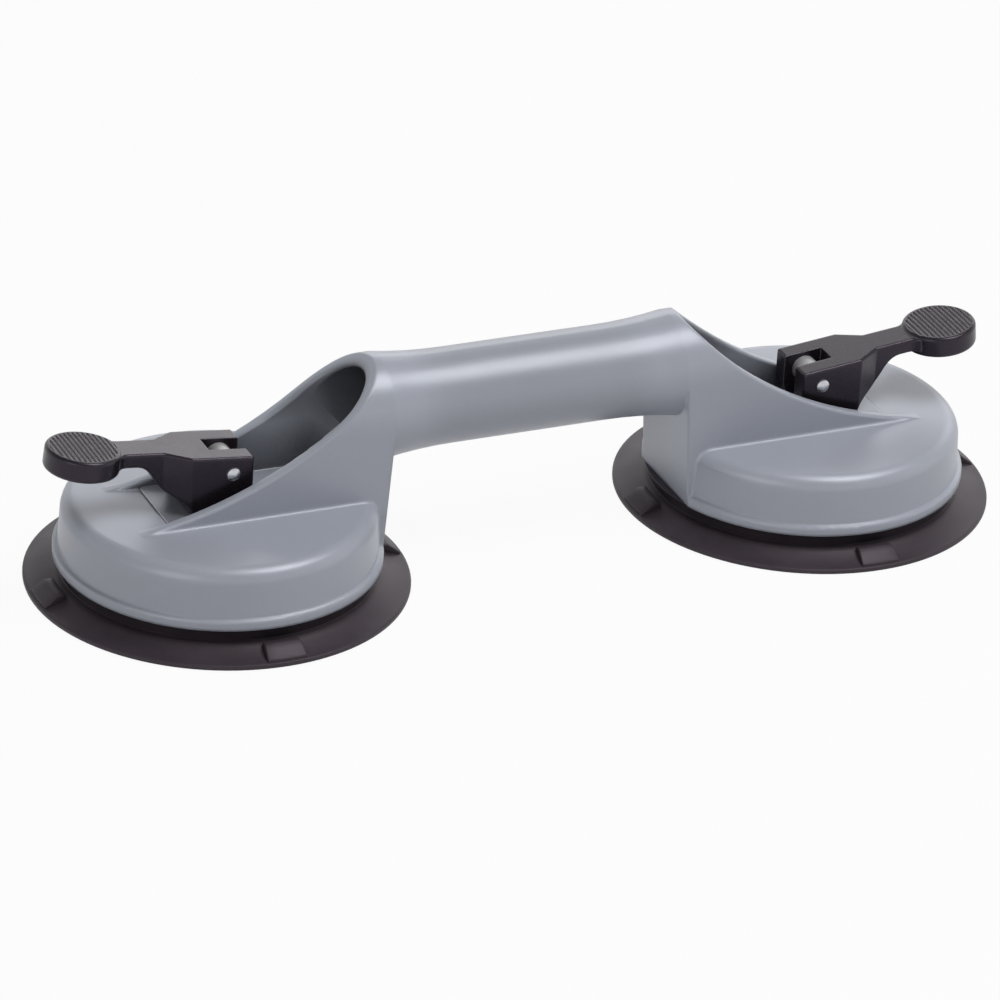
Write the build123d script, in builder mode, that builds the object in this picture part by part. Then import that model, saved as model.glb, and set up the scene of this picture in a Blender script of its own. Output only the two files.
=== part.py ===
from build123d import *
import math
import os

# Twin-cup suction lifter for floor tiles. Millimetres, +Z up, X along the handle, -Y towards the user.
# The origin is on the tile, midway between the cups. The pose is the locked one: levers down, pads drawn up.

# Layout of the two cups
cup_spacing = 200.0
release_angle = 90.0

# Rubber pads
pad_diameter = 120.0
pad_rim_thickness = 1.5
pad_land_width = 6.0
pad_skirt_height = 5.0
pad_skirt_hollow = 0.5
pad_neck_diameter = 101.0
pad_neck_wall = 4.6
pad_web_thickness = 2.5
pad_lift = 6.5
lug_inner_width = 10.0
lug_outer_width = 12.8
lug_length = 7.0
lug_height = 2.9
lug_margin = 1.0
lug_bevel = 1.2
lug_toe = 0.9
lug_count = 4

# Domes of the casting
seat_height = 8.7
flange_diameter = 102.2
flange_thickness = 3.3
dome_foot_diameter = 99.2
dome_top_diameter = 98.0
deck_height = 27.6
deck_thickness = 3.0
shoulder_radius = 4.8
dome_wall = 3.4
flange_round = 0.9

# Handle tube and the towers that carry it
handle_height = 51.7
handle_diameter = 30.0
handle_flare = 1.8
handle_wall = 2.2
grip_length = 52.0
tower_corner = 1.33
tower_lean = 2.6
cheek_wall = 3.6
trough_end_wall = 2.4
cheek_tip_reach = 32.5
peak_run = 1.6
peak_clearance = 1.5
cheek_sag = 8.2
root_fillet = 0.8
cheek_round = 0.8

# Wear plate under each cam
plate_thickness = 1.0
plate_recess = 0.6
plate_outer_reach = 21.8
plate_inner_reach = 11.0
plate_play = 0.1
plate_corner = 1.5

# Cam levers
pivot_above_plate = 12.6
cam_clearance = 0.1
end_face_reach = 6.8
foot_reach = 13.5
fork_width = 20.0
fork_slot_width = 7.7
fork_slot_reach = 5.8
shoulder_reach = 21.0
lever_rise = 5.5
lever_slope = 6.3
lever_round = 0.8
cam_steps = 8
web_reach = 30.0
web_depth = 5.5
web_lean = 0.35
foot_lift = 1.5
arm_width = 10.6
arm_thickness = 4.6
thumb_reach = 45.2
thumb_diameter = 23.6
thumb_thickness = 7.0
thumb_step = 0.8
thumb_rim = 1.3
thumb_round = 1.2
thumb_neck_round = 4.0
rib_count = 14
rib_pitch = 1.5
rib_width = 0.85
rib_depth = 0.35

# Pivot pins
pin_diameter = 4.2
pin_proud = 1.1
pin_dome = 0.6
pin_seat_clearance = 0.02
pin_running_clearance = 0.06

# Pull stems, nuts and the plates moulded into the pads
shank_diameter = 7.0
stem_eye_width = 7.3
stem_head_diameter = 8.2
stud_diameter = 6.0
stud_length = 10.0
thread_clearance = 0.03
stud_tip_gap = 1.0
nut_flats = 10.0
nut_height = 5.0
nut_chamfer = 0.5
backing_diameter = 66.0
backing_thickness = 2.0
backing_holes = 6
backing_hole_diameter = 7.0
backing_lip = 1.6
bonded_gap = 0.05

# Guide bushes, spring seats and return springs
bush_clearance = 0.05
bush_wall = 2.4
bush_flange_diameter = 22.0
bush_flange_thickness = 1.5
bush_hole_clearance = 0.02
seat_washer_thickness = 1.0
seat_washer_play = 0.4
spring_wire = 1.5
spring_wire_sides = 8
spring_mean_diameter = 17.5
spring_turns = 4.0
spring_seat_gap = 0.05

# Heights and radii that follow from the sizes above
backing_height = pad_lift + pad_web_thickness
nut_seat = backing_height + backing_thickness
stem_foot = nut_seat + nut_height + bonded_gap
plate_bed = deck_height - plate_recess
plate_top = plate_bed + plate_thickness
pivot_height = plate_top + pivot_above_plate
cam_height = pivot_above_plate - cam_clearance
cam_drop = cam_height - end_face_reach
cam_lead = cam_drop / math.radians(release_angle)
deck_underside = deck_height - deck_thickness
flange_top = seat_height + flange_thickness
bush_radius = shank_diameter / 2 + bush_clearance + bush_wall
washer_height = deck_underside - bush_flange_thickness - seat_washer_thickness
handle_end_diameter = handle_diameter + 2 * handle_flare
handle_bore_diameter = handle_diameter - 2 * handle_wall
tower_reach = math.sqrt(dome_foot_diameter**2 - handle_end_diameter**2) / 2 + tower_corner
tower_inner = tower_reach + tower_lean
trough_reach = tower_reach - trough_end_wall
trough_width = handle_end_diameter - 2 * cheek_wall
neck_span = thumb_diameter / 2 + thumb_neck_round
neck_run = math.sqrt(neck_span**2 - (arm_width / 2 + thumb_neck_round) ** 2)
neck_share = thumb_diameter / 2 / neck_span
peak_reach = tower_reach + peak_run
peak_height = handle_height + handle_end_diameter / 2 + peak_clearance
slope = math.tan(math.radians(lever_slope))
above = handle_height + handle_end_diameter

os.makedirs("parts", exist_ok=True)


def cup_plane(side):
    """Plan of one cup: origin under its centre, local x pointing away from the handle."""
    return Plane(origin=(side * cup_spacing / 2, 0, 0), x_dir=(side, 0, 0), z_dir=(0, 0, 1))


def section_plane(side, angle=0.0):
    """Upright plane through a cup's axis: local x outwards, turned by the angle, and local y up."""
    turn = math.radians(angle) + (0.0 if side > 0 else math.pi)
    return Plane(
        origin=(side * cup_spacing / 2, 0, 0),
        x_dir=(math.cos(turn), math.sin(turn), 0),
        z_dir=(math.sin(turn), -math.cos(turn), 0),
    )


def finish(piece, node):
    """Name a finished piece and write it out."""
    piece.part.label = node
    export_step(piece.part, f"parts/{node}.step")


def cheek_line():
    """The three points of the long hollow arc that the top edge of each cheek follows."""
    tip = Vector(cheek_tip_reach, deck_height)
    peak = Vector(-peak_reach, peak_height)
    middle = (tip + peak) / 2
    along = (peak - tip).normalized()
    low = middle + Vector(-along.Y, along.X) * cheek_sag
    return tip, low, peak


def on_cheek_line(edge, side):
    """Whether an edge lies on the hollow sweep of one tower."""
    sweep = ThreePointArc(*cheek_line())
    places = [section_plane(side).to_local_coords(edge @ share) for share in (0.25, 0.5, 0.75)]
    return all(abs((Vector(q.X, q.Y) - sweep.arc_center).length - sweep.radius) < 0.02 for q in places)


def involute(fraction):
    """Point of the cam outline, from the pivot. The cam's height falls evenly as the lever turns."""
    turn = math.radians(release_angle) * fraction
    height = cam_height - cam_lead * turn
    x = cam_lead * math.cos(turn) - height * math.sin(turn)
    y = -height * math.cos(turn) - cam_lead * math.sin(turn)
    return x, pivot_height + y


def tower(side):
    """Round-topped block for the cheeks that carry one end of the handle, before its faces are cut."""
    across = Plane(
        origin=(side * (cup_spacing - pad_diameter) / 2, 0, 0), x_dir=(0, side, 0), z_dir=(side, 0, 0)
    )
    with BuildPart() as upright:
        with BuildSketch(across):
            with Locations((0, handle_height)):
                Circle(handle_end_diameter / 2)
            with Locations((0, (seat_height + handle_height) / 2)):
                Rectangle(handle_end_diameter, handle_height - seat_height)
        extrude(amount=pad_diameter / 2 + cheek_tip_reach)
    return upright.part


def inner_cut(side):
    """Block beyond the tower's inner face, which leans with the draft and cuts dome and flange flat."""
    with BuildPart() as wedge:
        with BuildSketch(section_plane(side)):
            with BuildLine():
                Polyline(
                    (-tower_reach, seat_height),
                    (-tower_inner, handle_height),
                    (-tower_inner, above),
                    (-pad_diameter, above),
                    (-pad_diameter, seat_height),
                    close=True,
                )
            make_face()
        extrude(amount=pad_diameter, both=True)
    return wedge.part


def dome(side):
    """Round dome with a soft shoulder, slightly wider at its foot."""
    top = dome_top_diameter / 2
    foot = dome_foot_diameter / 2
    with BuildPart() as shell:
        with BuildSketch(section_plane(side)):
            with BuildLine():
                Polyline((0, seat_height), (0, deck_height), (top - shoulder_radius, deck_height))
                RadiusArc(
                    (top - shoulder_radius, deck_height),
                    (top, deck_height - shoulder_radius),
                    shoulder_radius,
                )
                Polyline(
                    (top, deck_height - shoulder_radius),
                    (foot, flange_top),
                    (foot, seat_height),
                    (0, seat_height),
                )
            make_face()
        revolve(axis=Axis((side * cup_spacing / 2, 0, 0), (0, 0, 1)))
    return shell.part


def cup_end(side):
    """Tower on its dome, soft along the root. The inner face is cut last, so the root runs clear of it."""
    with BuildPart() as end:
        add(tower(side))
        add(dome(side))
        roots = end.edges().filter_by(
            lambda e: abs(abs(e.center().Y) - handle_end_diameter / 2) < 0.01
            and seat_height + 0.01 < e.center().Z < deck_height + 0.01
        )
        fillet(roots, root_fillet)
        add(inner_cut(side), mode=Mode.SUBTRACT)
    return end.part


def flange(side):
    """Rounded flange at the foot of the dome, over the neck of the pad."""
    lip = flange_diameter / 2
    root = dome_foot_diameter / 2 - dome_wall / 2
    with BuildPart() as ring:
        with BuildSketch(section_plane(side)):
            with BuildLine():
                Polyline((root, seat_height), (root, flange_top), (lip - flange_round, flange_top))
                RadiusArc((lip - flange_round, flange_top), (lip, flange_top - flange_round), flange_round)
                Polyline((lip, flange_top - flange_round), (lip, seat_height), (root, seat_height))
            make_face()
        revolve(axis=Axis((side * cup_spacing / 2, 0, 0), (0, 0, 1)))
        add(inner_cut(side), mode=Mode.SUBTRACT)
    return ring.part


# Body: one aluminium casting with the hollow handle, two towers and two domes
with BuildPart() as body_casting:
    with BuildSketch(Plane.XZ):
        with BuildLine():
            grip_end = (grip_length / 2, handle_height + handle_diameter / 2)
            flare_end = (cup_spacing / 2 - tower_inner, handle_height + handle_end_diameter / 2)
            tube_end = cup_spacing / 2 - tower_reach
            flare = TangentArc(grip_end, flare_end, tangent=(1, 0))
            Polyline(flare @ 1, (tube_end, flare_end[1]), (tube_end, handle_height), (0, handle_height))
            Polyline((0, handle_height), (0, handle_height + handle_diameter / 2), grip_end)
        make_face()
        mirror(about=Plane.YZ)
    revolve(axis=Axis((0, 0, handle_height), (1, 0, 0)))
    for side in (-1, 1):
        add(cup_end(side))
        add(flange(side))
    for side in (-1, 1):
        cup = cup_plane(side)
        # Hollow sweep of the cheeks, from the deck up to the end of the handle
        tip, low, peak = cheek_line()
        with BuildSketch(section_plane(side)):
            with BuildLine():
                ThreePointArc(tip, low, peak)
                Polyline(
                    peak,
                    (-peak_reach, above),
                    (pad_diameter / 2, above),
                    (pad_diameter / 2, deck_height),
                    tip,
                )
            make_face()
        extrude(amount=pad_diameter, both=True, mode=Mode.SUBTRACT)
        # Trough between the cheeks, with a round end
        with BuildSketch(cup.offset(deck_height)):
            end_centre = -trough_reach + trough_width / 2
            with Locations((end_centre, 0)):
                Circle(trough_width / 2)
            with Locations(((end_centre + pad_diameter / 2) / 2, 0)):
                Rectangle(pad_diameter / 2 - end_centre, trough_width)
        extrude(amount=above, mode=Mode.SUBTRACT)
        # Bed of the wear plate
        with BuildSketch(cup.offset(plate_bed)):
            with Locations(((plate_outer_reach - plate_inner_reach) / 2, 0)):
                Rectangle(plate_outer_reach + plate_inner_reach, trough_width)
        extrude(amount=plate_recess, mode=Mode.SUBTRACT)
        # Hollow of the dome and the hole for the guide bush
        with BuildSketch(section_plane(side)):
            inner = dome_top_diameter / 2 - dome_wall
            with BuildLine():
                Polyline(
                    (0, seat_height),
                    (0, deck_underside),
                    (inner - shoulder_radius, deck_underside),
                )
                RadiusArc(
                    (inner - shoulder_radius, deck_underside),
                    (inner, deck_underside - shoulder_radius),
                    shoulder_radius,
                )
                Polyline((inner, deck_underside - shoulder_radius), (inner, seat_height), (0, seat_height))
            make_face()
        revolve(axis=Axis((side * cup_spacing / 2, 0, 0), (0, 0, 1)), mode=Mode.SUBTRACT)
        with BuildSketch(cup.offset(deck_underside)):
            Circle(bush_radius + bush_hole_clearance)
        extrude(amount=deck_thickness, mode=Mode.SUBTRACT)
    # Bore along the handle, from trough to trough
    with BuildSketch(Plane.YZ):
        with Locations((0, handle_height)):
            Circle(handle_bore_diameter / 2)
    extrude(amount=cup_spacing / 2 - trough_reach + trough_width / 2, both=True, mode=Mode.SUBTRACT)
    # Rounded top edges of the cheeks
    for side in (-1, 1):
        fillet(body_casting.edges().filter_by(lambda e: on_cheek_line(e, side)), cheek_round)
finish(body_casting, "body_casting")


def lug(side, index):
    """Release lug on the skirt, bevelled towards the dome and wider at the rim."""
    foot = pad_diameter / 2 - lug_margin - lug_length
    toe = foot + lug_length
    crest = pad_skirt_height + lug_height
    angle = 360 / lug_count * index
    with BuildPart() as block:
        with BuildSketch(section_plane(side, angle)):
            with BuildLine():
                Polyline(
                    (foot, pad_rim_thickness),
                    (foot, crest - lug_bevel / 2),
                    (foot + lug_bevel, crest),
                    (toe, pad_rim_thickness + lug_toe),
                    (toe, pad_rim_thickness / 2),
                    (foot, pad_rim_thickness),
                )
            make_face()
        extrude(amount=lug_outer_width / 2, both=True)
        with BuildSketch(cup_plane(side).rotated((0, 0, angle))):
            with BuildLine():
                Polyline(
                    (foot, lug_inner_width / 2),
                    (toe, lug_outer_width / 2),
                    (toe, -lug_outer_width / 2),
                    (foot, -lug_inner_width / 2),
                    close=True,
                )
            make_face()
        extrude(amount=crest, mode=Mode.INTERSECT)
    return block.part


def rubber_pad(side, tag):
    """Soft pad: sealing rim, skirt with release lugs, neck under the flange and the web that is drawn up."""
    rim = pad_diameter / 2
    neck = pad_neck_diameter / 2
    inner = neck - pad_neck_wall
    backing = backing_diameter / 2 + bonded_gap
    skirt_middle = (pad_rim_thickness + pad_skirt_height) / 2 - pad_skirt_hollow
    with BuildPart() as pad:
        with BuildSketch(section_plane(side)):
            with BuildLine():
                Polyline((0, pad_lift), (backing, pad_lift))
                TangentArc((backing, pad_lift), (rim - pad_land_width, 0), tangent=(1, 0))
                Polyline((rim - pad_land_width, 0), (rim, 0), (rim, pad_rim_thickness))
                ThreePointArc(
                    (rim, pad_rim_thickness),
                    ((rim + neck) / 2, skirt_middle),
                    (neck, pad_skirt_height),
                )
                Polyline(
                    (neck, pad_skirt_height),
                    (neck, seat_height),
                    (inner, seat_height),
                    (inner, seat_height - pad_rim_thickness),
                    (backing + backing_lip, backing_height),
                    (backing + backing_lip, nut_seat),
                    (backing, nut_seat),
                    (backing, backing_height - bonded_gap),
                    (0, backing_height - bonded_gap),
                    (0, pad_lift),
                )
            make_face()
        revolve(axis=Axis((side * cup_spacing / 2, 0, 0), (0, 0, 1)))
        for index in range(lug_count):
            add(lug(side, index))
    finish(pad, f"rubber_pad_{tag}")


def backing_plate(side, tag):
    """Steel plate moulded into the pad, with its riveted stud."""
    cup = cup_plane(side)
    with BuildPart() as plate:
        with BuildSketch(cup.offset(backing_height)):
            Circle(backing_diameter / 2)
            with PolarLocations(backing_diameter / 3, backing_holes):
                Circle(backing_hole_diameter / 2, mode=Mode.SUBTRACT)
        extrude(amount=backing_thickness)
        with BuildSketch(cup.offset(backing_height)):
            Circle(stud_diameter / 2)
        extrude(amount=backing_thickness + stud_length)
        chamfer(plate.faces().sort_by(Axis.Z)[-1].edges(), nut_chamfer)
    finish(plate, f"backing_plate_{tag}")


def lock_nut(side, tag):
    """Hexagon nut that locks the stem on the stud."""
    with BuildPart() as nut:
        with BuildSketch(cup_plane(side).offset(nut_seat)):
            RegularPolygon(nut_flats / 2, 6, major_radius=False)
        extrude(amount=nut_height)
        with BuildSketch(section_plane(side)):
            corner = nut_flats / math.sqrt(3)
            with BuildLine():
                Polyline(
                    (0, nut_seat),
                    (corner - nut_chamfer, nut_seat),
                    (corner, nut_seat + nut_chamfer / 2),
                    (corner, nut_seat + nut_height - nut_chamfer / 2),
                    (corner - nut_chamfer, nut_seat + nut_height),
                    (0, nut_seat + nut_height),
                    (0, nut_seat),
                )
            make_face()
        revolve(axis=Axis((side * cup_spacing / 2, 0, 0), (0, 0, 1)), mode=Mode.INTERSECT)
        with BuildSketch(cup_plane(side).offset(nut_seat)):
            Circle(stud_diameter / 2 + thread_clearance)
        extrude(amount=nut_height, mode=Mode.SUBTRACT)
    finish(nut, f"lock_nut_{tag}")


def pull_stem(side, tag):
    """Eye stem: tapped shank below, flat round head above for the pivot pin."""
    cup = cup_plane(side)
    with BuildPart() as stem:
        with BuildSketch(cup.offset(stem_foot)):
            Circle(shank_diameter / 2)
        extrude(amount=pivot_height - stem_foot)
        with BuildSketch(section_plane(side)):
            with Locations((0, pivot_height)):
                Circle(stem_head_diameter / 2)
        extrude(amount=stem_eye_width / 2, both=True)
        with BuildSketch(section_plane(side)):
            with Locations((0, pivot_height)):
                Circle(pin_diameter / 2 + pin_running_clearance)
        extrude(amount=shank_diameter, both=True, mode=Mode.SUBTRACT)
        with BuildSketch(cup.offset(stem_foot)):
            Circle(stud_diameter / 2 + thread_clearance)
        extrude(amount=nut_seat + stud_length + stud_tip_gap - stem_foot, mode=Mode.SUBTRACT)
    finish(stem, f"pull_stem_{tag}")


def guide_bush(side, tag):
    """Flanged plastic bush that guides the stem through the deck."""
    cup = cup_plane(side)
    flange_bottom = deck_underside - bush_flange_thickness
    with BuildPart() as bush:
        with BuildSketch(cup.offset(flange_bottom)):
            Circle(bush_flange_diameter / 2)
        extrude(amount=bush_flange_thickness)
        with BuildSketch(cup.offset(flange_bottom)):
            Circle(bush_radius)
        extrude(amount=plate_bed - flange_bottom)
        with BuildSketch(cup.offset(flange_bottom)):
            Circle(shank_diameter / 2 + bush_clearance)
        extrude(amount=plate_bed - flange_bottom, mode=Mode.SUBTRACT)
    finish(bush, f"guide_bush_{tag}")


def spring_seat(side, tag):
    """Steel washer between the bush flange and the spring."""
    with BuildPart() as washer:
        with BuildSketch(cup_plane(side).offset(washer_height)):
            Circle(bush_flange_diameter / 2)
            Circle(shank_diameter / 2 + seat_washer_play, mode=Mode.SUBTRACT)
        extrude(amount=seat_washer_thickness)
    finish(washer, f"spring_seat_{tag}")


def return_spring(side, tag):
    """Compression spring of profiled wire that pushes the plate down when the lever is let go."""
    foot = nut_seat + spring_wire / 2 + spring_seat_gap
    length = washer_height - nut_seat - spring_wire - 2 * spring_seat_gap
    radius = spring_mean_diameter / 2
    centre = (side * cup_spacing / 2, 0, foot)
    with BuildPart() as spring:
        with BuildLine():
            coil = Helix(pitch=length / spring_turns, height=length, radius=radius, center=centre)
        with BuildSketch(Plane(origin=coil @ 0, z_dir=coil % 0)):
            RegularPolygon(spring_wire / 2, spring_wire_sides)
        sweep(path=coil, is_frenet=True)
    finish(spring, f"return_spring_{tag}")


def wear_plate(side, tag):
    """Thin steel plate in the trough floor, which the cam slides on."""
    with BuildPart() as plate:
        with BuildSketch(cup_plane(side).offset(plate_bed)):
            with Locations(((plate_outer_reach - plate_inner_reach) / 2, 0)):
                RectangleRounded(
                    plate_outer_reach + plate_inner_reach - 2 * plate_play,
                    trough_width - 2 * plate_play,
                    plate_corner,
                )
            Circle(shank_diameter / 2 + seat_washer_play, mode=Mode.SUBTRACT)
        extrude(amount=plate_thickness)
    finish(plate, f"wear_plate_{tag}")


def thumb_plane(side):
    """Inclined plane on the top face of the thumb pad."""
    section = section_plane(side)
    along = section.x_dir * math.cos(math.radians(lever_slope))
    along += Vector(0, 0, math.sin(math.radians(lever_slope)))
    height = pivot_height + lever_rise + thumb_step + thumb_reach * slope
    return Plane(
        origin=section.from_local_coords((thumb_reach, height)),
        x_dir=along,
        z_dir=along.cross(cup_plane(side).y_dir),
    )


def thumb_pad(side):
    """Round thumb pad with rounded rims and a field of ribs across its top."""
    with BuildPart() as pad:
        with BuildSketch(thumb_plane(side)):
            Circle(thumb_diameter / 2)
        extrude(amount=-thumb_thickness)
        fillet(pad.edges().filter_by(GeomType.CIRCLE), thumb_round)
        with BuildSketch(thumb_plane(side)):
            Circle(thumb_diameter / 2 - thumb_rim)
            with GridLocations(rib_pitch, 0, rib_count, 1):
                Rectangle(rib_width, thumb_diameter, mode=Mode.SUBTRACT)
        extrude(amount=-rib_depth, mode=Mode.SUBTRACT)
    return pad.part


def lever(side, tag):
    """Cam lever: forked cam at the pivot, and an arm that ends in the thumb pad."""
    section = section_plane(side)
    cup = cup_plane(side)
    arm_top = pivot_height + lever_rise
    arm_bottom = arm_top - arm_thickness
    foot = plate_top + cam_clearance
    with BuildPart() as lever_arm:
        with BuildSketch(section.offset(-fork_width)):
            with BuildLine():
                cam = Spline([involute(step / cam_steps) for step in range(cam_steps + 1)])
                Polyline(
                    cam @ 1,
                    (-end_face_reach, arm_top - end_face_reach * slope),
                    (thumb_reach, arm_top + thumb_reach * slope),
                    (thumb_reach, arm_bottom + thumb_reach * slope),
                    (web_reach, arm_bottom + web_reach * slope),
                )
                Spline(
                    (web_reach, arm_bottom + web_reach * slope),
                    (shoulder_reach, arm_bottom - web_depth),
                    (foot_reach, foot + foot_lift),
                    tangents=[(-1, -slope), (-web_lean, -1)],
                )
                Polyline((foot_reach, foot + foot_lift), (foot_reach, foot), cam @ 0)
            make_face()
        extrude(amount=2 * fork_width)
        # Plan: fork, waist and arm, with a hollow neck into the thumb pad
        neck_centre = (thumb_reach - neck_run, arm_width / 2 + thumb_neck_round)
        neck_end = (
            thumb_reach - neck_run * neck_share,
            (arm_width / 2 + thumb_neck_round) * neck_share,
        )
        with BuildSketch(cup.offset(plate_top)):
            with BuildLine():
                Polyline(
                    (thumb_reach, 0),
                    (-end_face_reach, 0),
                    (-end_face_reach, fork_width / 2),
                    (foot_reach, fork_width / 2),
                    (shoulder_reach, arm_width / 2),
                    (neck_centre[0], arm_width / 2),
                )
                TangentArc((neck_centre[0], arm_width / 2), neck_end, tangent=(1, 0))
                Polyline(neck_end, (thumb_reach, neck_end[1]), (thumb_reach, 0))
            make_face()
            mirror(about=Plane.XZ)
        extrude(amount=pivot_height, mode=Mode.INTERSECT)
        fillet(lever_arm.edges(), lever_round)
        # Slot for the stem head, open towards the handle
        with BuildSketch(cup.offset(plate_top)):
            with Locations((fork_slot_reach / 2 - end_face_reach, 0)):
                Rectangle(fork_slot_reach + 2 * end_face_reach, fork_slot_width)
        extrude(amount=pivot_height, mode=Mode.SUBTRACT)
        with BuildSketch(section):
            with Locations((0, pivot_height)):
                Circle(pin_diameter / 2 + pin_seat_clearance)
        extrude(amount=fork_width, both=True, mode=Mode.SUBTRACT)
        add(thumb_pad(side))
    finish(lever_arm, f"lever_{tag}")


def pivot_pin(side, tag):
    """Steel pin with domed ends, fast in the fork."""
    half = fork_width / 2 + pin_proud
    radius = pin_diameter / 2
    crown = (radius**2 + pin_dome**2) / (2 * pin_dome)
    with BuildPart() as pin:
        with BuildSketch(cup_plane(side).offset(pivot_height)):
            with BuildLine():
                Polyline((0, -half), (0, half))
                RadiusArc((0, half), (radius, half - pin_dome), crown)
                Polyline((radius, half - pin_dome), (radius, pin_dome - half))
                RadiusArc((radius, pin_dome - half), (0, -half), crown)
            make_face()
        revolve(axis=Axis((side * cup_spacing / 2, 0, pivot_height), (0, 1, 0)))
    finish(pin, f"pivot_pin_{tag}")


for side, tag in ((-1, "a"), (1, "b")):
    rubber_pad(side, tag)
    backing_plate(side, tag)
    lock_nut(side, tag)
    pull_stem(side, tag)
    guide_bush(side, tag)
    spring_seat(side, tag)
    return_spring(side, tag)
    wear_plate(side, tag)
    lever(side, tag)
    pivot_pin(side, tag)
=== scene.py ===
"""Looks of a twin-cup suction lifter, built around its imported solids."""

import math

import bpy
from mathutils import Matrix, Vector


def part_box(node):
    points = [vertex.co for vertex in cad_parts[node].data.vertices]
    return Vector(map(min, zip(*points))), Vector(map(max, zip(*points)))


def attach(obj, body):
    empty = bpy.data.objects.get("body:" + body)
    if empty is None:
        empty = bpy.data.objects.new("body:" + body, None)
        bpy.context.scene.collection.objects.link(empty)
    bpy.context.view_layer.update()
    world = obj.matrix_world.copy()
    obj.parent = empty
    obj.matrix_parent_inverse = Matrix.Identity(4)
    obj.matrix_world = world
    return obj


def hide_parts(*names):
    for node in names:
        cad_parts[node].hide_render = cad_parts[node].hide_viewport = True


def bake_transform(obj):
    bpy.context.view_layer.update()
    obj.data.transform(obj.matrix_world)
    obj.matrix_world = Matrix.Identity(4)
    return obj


bl_info = {
    "name": "Suction Lifter",
    "version": (1, 0, 0),
    "blender": (4, 5, 0),
    "location": "3D View > Sidebar > Lifter",
    "description": "Builds the rubber pads, springs and finishes of a twin-cup suction lifter",
    "category": "Add Mesh",
}

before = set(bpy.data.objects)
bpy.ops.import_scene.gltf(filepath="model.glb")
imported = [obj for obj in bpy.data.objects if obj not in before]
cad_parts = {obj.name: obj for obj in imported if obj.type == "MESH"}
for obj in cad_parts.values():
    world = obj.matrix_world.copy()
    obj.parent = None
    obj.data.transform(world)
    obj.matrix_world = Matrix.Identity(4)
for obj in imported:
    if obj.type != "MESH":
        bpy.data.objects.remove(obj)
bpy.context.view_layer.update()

MM = 0.001
CUPS = {"a": -1, "b": 1}
RUBBER_SHEEN = (1.0, 0.88, 0.99, 1.0)
NYLON_SHEEN = (0.92, 0.77, 1.0, 1.0)
THUMB_RADIUS = 11.8 * MM
BORE_HEIGHT, BORE_RADIUS = 51.7 * MM, 12.8 * MM
LAMPS = (
    # what it is, place, width and height
    ("key", (0.45, -0.31, 1.31), 0.75, 0.65),
    ("rear", (0.95, 1.50, 0.72), 2.1, 0.65),
    ("left", (-1.20, -0.85, 0.70), 0.7, 0.8),
    ("right", (1.40, -0.65, 0.62), 0.7, 0.8),
)
AIM = Vector((-0.0024, 0.0060, 0.0081))
FLOOR_GREY = (0.66, 0.66, 0.66, 1)
WHITE = (1, 1, 1, 1)
PAD_LOW, PAD_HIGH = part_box("rubber_pad_b")
PAD_CENTRE = (PAD_LOW.x + PAD_HIGH.x) / 2


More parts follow.
